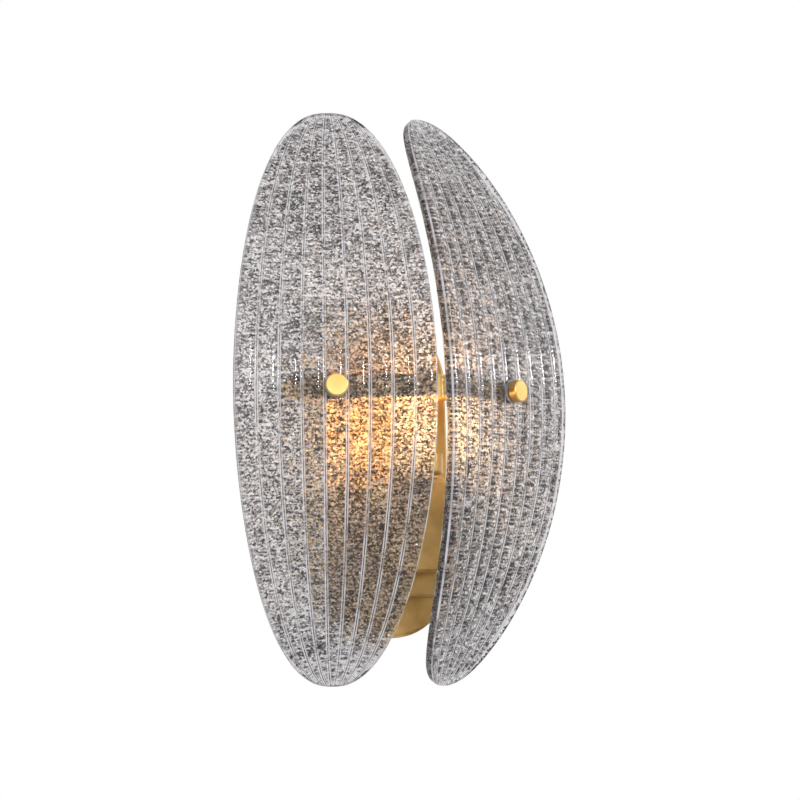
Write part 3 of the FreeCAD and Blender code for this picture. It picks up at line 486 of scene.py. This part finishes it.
def granularGlass():
    # clear ribbed face, crushed grains fused to the back: some pass the light, some turn it away
    material, tree = newMaterial("granular ribbed glass")
    where = addNode(tree, "TexCoord").outputs["Object"]
    places = addNode(tree, "SeparateXYZ", {0: where})
    glassParts = addNode(tree, "SeparateXYZ", {0: addNode(tree, "UVMap", uv_map="glassPlace")})
    rimParts = addNode(tree, "SeparateXYZ", {0: addNode(tree, "UVMap", uv_map="rimPlace")})
    valleyDistance = addNode(tree, "SeparateXYZ", {0: addNode(tree, "UVMap", uv_map="seamPlace")})
    across, along = glassParts.outputs[0], glassParts.outputs[1]
    rim, behind = rimParts.outputs[0], rimParts.outputs[1]
    isBack = addNode(tree, "Math", {0: behind, 1: 0.5}, operation="GREATER_THAN")
    heightShare = addNode(tree, "Math", {0: along, 1: 0.5, 2: 0.5}, operation="MULTIPLY_ADD")

    grains = addNode(tree, "TexVoronoi", {
        "Vector": where, "Scale": 1 / glass["grain"], "Randomness": 1.0}, feature="F1")
    facet = addNode(tree, "SeparateXYZ", {0: grains.outputs["Color"]})
    speck = addNode(tree, "TexNoise", {
        "Vector": where, "Scale": 1 / glass["grain"], "Detail": 1.5, "Roughness": 0.7})
    clouds = addNode(tree, "TexNoise", {
        "Vector": where, "Scale": 1 / glass["cloud"], "Detail": 1.0})
    # each flute has its own ladder of short cross ripples
    turns = addNode(tree, "Math", {
        0: across, 1: shell["flutes"] / 2, 2: 0.5}, operation="MULTIPLY_ADD")
    flute = addNode(tree, "Math", {0: turns}, operation="FLOOR")
    rungAcross = addNode(tree, "Math", {
        0: places.outputs[0], 1: 1 / glass["rungWide"]}, operation="MULTIPLY")
    rungAcross = addNode(tree, "Math", {
        0: flute, 1: glass["rungShift"], 2: rungAcross}, operation="MULTIPLY_ADD")
    rungUp = addNode(tree, "Math", {
        0: places.outputs[2], 1: 1 / glass["rungHigh"]}, operation="MULTIPLY")
    rungs = addNode(tree, "TexNoise", {
        "Vector": addNode(tree, "CombineXYZ", {0: rungAcross, 2: rungUp}),
        "Scale": 1.0, "Detail": 1.0, "Roughness": 0.5})
    isRight = addNode(tree, "Math", {0: places.outputs[0], 1: 0.0}, operation="GREATER_THAN")
    rungShare = addNode(tree, "Math", {
        0: isRight, 1: glass["rightRipples"], 2: 1.0}, operation="MULTIPLY_ADD")

    tone = glass["level"]
    patterns = ((facet, glass["facetShare"]), (speck, glass["speckShare"]),
                (rungs, rungShare), (clouds, glass["cloudShare"]))
    for pattern, share in patterns:
        centred = addNode(tree, "Math", {0: pattern, 1: 0.5}, operation="SUBTRACT")
        tone = addNode(tree, "Math", {0: centred, 1: share, 2: tone}, operation="MULTIPLY_ADD")
    fall = addNode(tree, "Math", {
        0: rungShare, 1: glass["rippleFall"], 2: glass["fall"]}, operation="MULTIPLY_ADD")
    fall = addNode(tree, "Math", {0: heightShare, 1: fall}, operation="MULTIPLY")
    tone = addNode(tree, "Math", {0: tone, 1: fall}, operation="SUBTRACT")
    # painted highlight: the tone is raised within a little of each valley
    paintedValleyHighlight = addNode(tree, "ValToRGB", {"Fac": valleyDistance}, glass["paintedValleyHighlight"])
    tone = addNode(tree, "Math", {0: tone, 1: paintedValleyHighlight}, operation="ADD", use_clamp=True)

    # the fused grains end in a bright, uneven line just inside the back edge
    wave = addNode(tree, "Math", {0: clouds, 1: 0.5}, operation="SUBTRACT")
    wavyRim = addNode(tree, "Math", {
        0: wave, 1: glass["edgeWave"], 2: rim}, operation="MULTIPLY_ADD")
    edgeLine = addNode(tree, "ValToRGB", {"Fac": wavyRim}, glass["edgeLine"])
    colour = addNode(tree, "Mix", {
        "Factor": edgeLine, 6: addNode(tree, "ValToRGB", {"Fac": tone}, glass["tones"]),
        7: glass["edgeHex"]}, data_type="RGBA").outputs[2]
    cover = addNode(tree, "Math", {
        0: addNode(tree, "ValToRGB", {"Fac": tone}, glass["cover"]),
        1: addNode(tree, "ValToRGB", {"Fac": rim}, glass["rimClear"])}, operation="MULTIPLY")
    edgeCover = addNode(tree, "Math", {
        0: edgeLine, 1: glass["edgeCover"]}, operation="MULTIPLY")
    cover = addNode(tree, "Math", {0: cover, 1: edgeCover}, operation="MAXIMUM")

    # every grain shows its own facet
    tilt = addNode(tree, "VectorMath", {
        0: grains.outputs["Color"], 1: (0.5, 0.5, 0.5)}, operation="SUBTRACT")
    tilt = addNode(tree, "VectorMath", {0: tilt, "Scale": glass["facetTilt"]}, operation="SCALE")
    tilt = addNode(tree, "VectorMath", {
        0: tilt, 1: addNode(tree, "NewGeometry").outputs["Normal"]}, operation="ADD")
    facetNormal = addNode(tree, "VectorMath", {0: tilt}, operation="NORMALIZE")
    surface = addNode(tree, "BsdfPrincipled", {
        "Base Color": colour, "Roughness": glass["facetRoughness"], "IOR": glass["facetIor"],
        "Normal": facetNormal})
    lit = addNode(tree, "BsdfTranslucent", {"Color": colour})
    grain = addNode(tree, "MixShader", {"Fac": glass["translucence"], 1: surface, 2: lit})
    between = addNode(tree, "BsdfRefraction", {
        "Color": glass["backHex"], "IOR": glass["ior"], "Roughness": glass["backRoughness"],
        "Normal": facetNormal})
    back = addNode(tree, "MixShader", {"Fac": cover, 1: between, 2: grain})

    # painted highlight and painted shade along each flute valley: a painted dark line with a
    # painted pale line on each side, strongest low down
    fine, tall = 1 / paintedValleyLines["patch"], 1 / paintedValleyLines["patchHeight"]
    stretched = addNode(tree, "Mapping", {"Vector": where, "Scale": (fine, fine, tall)})
    patches = addNode(tree, "TexNoise", {"Vector": stretched, "Scale": 1.0, "Detail": 2.0})
    paintedLineMask = addNode(tree, "Math", {
        0: addNode(tree, "ValToRGB", {"Fac": patches}, paintedValleyLines["broken"]),
        1: addNode(tree, "ValToRGB", {"Fac": heightShare}, paintedValleyLines["byHeight"])},
        operation="MULTIPLY")
    paintedLineMask = addNode(tree, "Math", {
        0: paintedLineMask, 1: addNode(tree, "ValToRGB", {"Fac": valleyDistance}, paintedValleyLines["profile"])},
        operation="MULTIPLY")
    # the colour of these lines is painted light and painted shade, in place of the valleys' own
    # reflection and shadow
    paintedLineShader = addNode(tree, "BsdfPrincipled", {
        "Base Color": addNode(tree, "ValToRGB", {"Fac": valleyDistance}, paintedValleyLines["tones"]),
        "Roughness": paintedValleyLines["roughness"], "IOR": paintedValleyLines["ior"]})
    ripple = addNode(tree, "Bump", {
        "Height": rungs, "Strength": glass["rippleShow"], "Distance": glass["rippleDepth"]})
    clearFace = addNode(tree, "BsdfGlass", {
        "Color": glass["faceHex"], "IOR": glass["ior"], "Roughness": glass["faceRoughness"],
        "Normal": ripple})
    front = addNode(tree, "MixShader", {"Fac": paintedLineMask, 1: clearFace, 2: paintedLineShader})

    # lamps shine through the clear face, and through the back where no grain stands
    sheet = addNode(tree, "MixShader", {"Fac": isBack, 1: front, 2: back})
    shadow = addNode(tree, "LightPath").outputs["Is Shadow Ray"]
    closed = addNode(tree, "Math", {0: isBack, 1: cover}, operation="MULTIPLY")
    opened = addNode(tree, "Math", {0: 1.0, 1: closed}, operation="SUBTRACT")
    passed = addNode(tree, "Math", {0: shadow, 1: opened}, operation="MULTIPLY")
    clear = addNode(tree, "BsdfTransparent", {"Color": glass["shadowHex"]})
    whole = addNode(tree, "MixShader", {"Fac": passed, 1: sheet, 2: clear})
    addNode(tree, "OutputMaterial", {"Surface": whole})
    return material


# finishes of the carried-over nodes, by their material slot

finishes = {
    "satin_brass": satinBrass(), "zinc_steel": zincSteel(), "clear_washer": clearAcrylic(),
    "holder_ceramic": steatiteCeramic(), "bulb_glass": lampGlass(), "filament": glowingWire(),
}
for slotName, plastic in plastics.items():
    finishes[slotName] = mouldedPlastic(plastic)
for row in frame["record"]["subparts"]:
    if row["material_slot"] in finishes:
        slots = frame["nodes"][row["node"]].data.materials
        slots.clear()
        slots.append(finishes[row["material_slot"]])
print("finishes on the metal, ceramic and plastic")

shellGlass = granularGlass()
for side in ("left", "right"):
    makeShell(side, shellGlass)


# floor, light and camera

studio = {
    "floorSize": 9.0,
    "floorHeight": -1.35,
    "floorTones": [(0.3, "ececec"), (0.7, "f3f3f3")],
    "floorRoughness": 0.7,
    "mottlesPerMetre": 3.0,
    "roomStrength": 0.66,
    "shownStrength": 1.0,
}
boxes = {
    "keyBox": {
        "place": (-0.9, -1.6, 1.2), "aim": (0, 0, 0.05), "size": (1.6, 1.6), "power": 9},
    "sideBox": {
        "place": (1.5, -1.0, 0.4), "aim": (0, 0, 0.05), "size": (0.5, 1.2), "power": 8},
    # the strip boxes make the short white dashes at the height of the strap
    "stripBoxLeft": {
        "place": (-0.35, -2.2, 0.47), "aim": (0, -0.08, 0.057), "size": (0.13, 0.15), "power": 9},
    "stripBoxRight": {
        "place": (1.9, -1.1, 0.47), "aim": (0, -0.08, 0.057), "size": (0.13, 0.15), "power": 4.5},
}


def layFloor():
    deselectAll()
    bpy.ops.mesh.primitive_plane_add(
        size=studio["floorSize"], location=(0, 0, studio["floorHeight"]))
    floor = bpy.context.object
    floor.name = "paleFloor"
    material, tree = newMaterial("pale painted floor")
    place = addNode(tree, "TexCoord").outputs["Object"]
    mottle = addNode(tree, "TexNoise", {
        "Vector": place, "Scale": studio["mottlesPerMetre"], "Detail": 2.0})
    shader = addNode(tree, "BsdfPrincipled", {
        "Base Color": addNode(tree, "ValToRGB", {"Fac": mottle}, studio["floorTones"]),
        "Roughness": studio["floorRoughness"]})
    addNode(tree, "OutputMaterial", {"Surface": shader})
    floor.data.materials.append(material)


def lightWorld():
    # a plain white room; what the camera, a reflection or the glass shows of it is full white
    world = bpy.data.worlds.new("softStudio")
    bpy.context.scene.world = world
    world.use_nodes = True
    tree = world.node_tree
    tree.nodes.clear()
    path = addNode(tree, "LightPath").outputs
    seen = addNode(tree, "Math", {
        0: path["Is Camera Ray"], 1: path["Is Transmission Ray"]}, operation="MAXIMUM")
    seen = addNode(tree, "Math", {0: seen, 1: path["Is Glossy Ray"]}, operation="MAXIMUM")
    room = addNode(tree, "Background", {
        "Color": grey(1.0), "Strength": studio["roomStrength"]})
    shown = addNode(tree, "Background", {
        "Color": grey(1.0), "Strength": studio["shownStrength"]})
    mixed = addNode(tree, "MixShader", {"Fac": seen, 1: room, 2: shown})
    addNode(tree, "OutputWorld", {"Surface": mixed})


def addLight(name, kind, power, colour, place):
    data = bpy.data.lights.new(name, kind)
    data.energy = power
    data.color = linear(colour)[:3]
    light = bpy.data.objects.new(name, data)
    bpy.context.collection.objects.link(light)
    light.location = place
    return light


def lightParts():
    for name, box in boxes.items():
        light = addLight(name, "AREA", box["power"], "ffffff", box["place"])
        light.data.shape = "RECTANGLE"
        light.data.size, light.data.size_y = box["size"]
        toAim = Vector(box["aim"]) - Vector(box["place"])
        light.rotation_euler = toAim.to_track_quat("-Z", "Y").to_euler()
    capsule = addLight("capsuleLight", "POINT", lamp["power"], lamp["lightHex"], lamp["place"])
    capsule.data.shadow_soft_size = lamp["radius"]


view = {
    "azimuth": -29.47,
    "elevation": -6.51,
    "roll": -1.76,
    "distance": 2.662,
    "aim": (-9.66 * mm, -60 * mm, 50.88 * mm),
    "focalPixels": 3724.7,
    "framePixels": 800,
    "sensor": 36.0,
    "near": 0.05,
    "far": 50,
}


def placeCamera():
    azimuth, elevation = math.radians(view["azimuth"]), math.radians(view["elevation"])
    back = Vector((math.sin(azimuth) * math.cos(elevation),
                   -math.cos(azimuth) * math.cos(elevation), math.sin(elevation)))
    right = (-back).cross(Vector((0, 0, 1))).normalized()
    up = right.cross(-back)
    roll = math.radians(view["roll"])
    rolledRight = right * math.cos(roll) + up * math.sin(roll)
    rolledUp = up * math.cos(roll) - right * math.sin(roll)
    turn = Matrix((rolledRight, rolledUp, back)).transposed().to_4x4()
    data = bpy.data.cameras.new("camera")
    data.sensor_width = view["sensor"]
    data.lens = view["focalPixels"] / view["framePixels"] * view["sensor"]
    data.clip_start = view["near"]
    data.clip_end = view["far"]
    camera = bpy.data.objects.new("camera", data)
    bpy.context.collection.objects.link(camera)
    place = Vector(view["aim"]) + back * view["distance"]
    camera.matrix_world = Matrix.Translation(place) @ turn
    bpy.context.scene.camera = camera


layFloor()
lightWorld()
lightParts()
placeCamera()
bpy.context.scene.view_settings.view_transform = "Standard"
print("floor, lights and camera in place")
